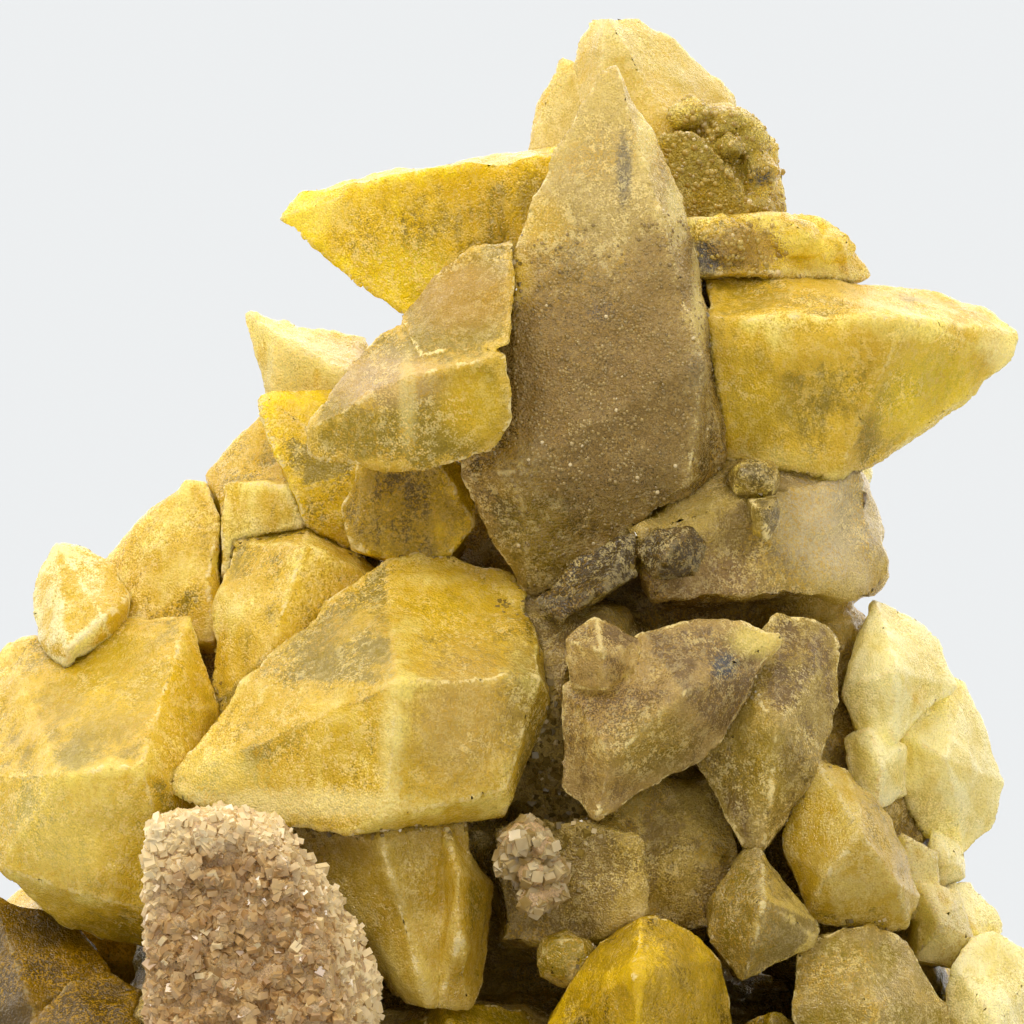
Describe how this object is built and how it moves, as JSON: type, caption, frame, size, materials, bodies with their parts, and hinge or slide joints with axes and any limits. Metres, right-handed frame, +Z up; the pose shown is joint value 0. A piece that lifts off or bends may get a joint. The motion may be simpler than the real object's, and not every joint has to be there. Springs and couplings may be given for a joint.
{
  "type": "calcite crystal specimen",
  "caption": "Golden dog-tooth calcite crystals crowded on a brown matrix, one tall upright crystal above, flat base.",
  "frame": {"origin": "on the flat sawn base, under the middle of the specimen", "axes": "+X to the viewer's right, +Y away from the viewer, +Z up, with the tall crystal in front"},
  "size_m": [0.112, 0.1017, 0.1124],
  "materials": {
    "calcite_gold": "golden yellow, translucent, frosted",
    "calcite_amber": "amber yellow, translucent, satin",
    "calcite_pale": "pale lemon, translucent, frosted",
    "calcite_brown": "brownish yellow, translucent, grainy",
    "druse": "pinkish cream, sugary and sparkling",
    "matrix": "olive brown, rough"
  },
  "bodies": {
    "root": {"amber_front_crystal": "calcite_amber", "amber_left_crystal": "calcite_amber", "back_corner_crystals": "calcite_gold", "back_left_crystals": "calcite_gold", "back_low_crystals": "calcite_amber", "back_middle_crystals": "calcite_gold", "back_right_crystals": "calcite_pale", "back_shoulder_crystals": "calcite_pale", "back_top_crystals": "calcite_gold", "back_upper_left_crystals": "calcite_gold", "big_front_crystal": "calcite_gold", "big_left_crystal": "calcite_gold", "clear_right_crystals": "calcite_pale", "corner_crystal": "calcite_gold", "cream_lump": "calcite_pale", "crown_crystals": "calcite_brown", "dark_hollow_crystal": "calcite_gold", "drusy_slab": "druse", "edge_crystal": "calcite_pale", "front_foot_crystal": "calcite_amber", "grape_lumps": "druse", "grey_block": "calcite_pale", "grey_spot_crystal": "calcite_brown", "hanging_brown_crystal": "calcite_brown", "hanging_crystals": "calcite_gold", "hanging_nub": "calcite_gold", "ledge_crystals": "calcite_gold", "left_blade_crystal": "calcite_amber", "left_foot_crystals": "calcite_gold", "left_shoulder_crystals": "calcite_gold", "lemon_crystal": "calcite_pale", "low_grey_crystal": "calcite_brown", "lower_front_crystals": "calcite_amber", "lower_left_crystals": "calcite_amber", "lower_right_crystal": "calcite_pale", "matrix": "matrix", "pale_corner_crystals": "calcite_pale", "pale_right_crystals": "calcite_pale", "ridge_crystal": "calcite_gold", "right_blade_crystal": "calcite_gold", "right_foot_crystals": "calcite_pale", "right_side_crystal": "calcite_pale", "round_crystal": "calcite_pale", "side_crystal": "calcite_gold", "slope_crystal": "calcite_gold", "spear_crystal": "calcite_brown", "summit_crystals": "calcite_gold"}
  },
  "joints": []
}
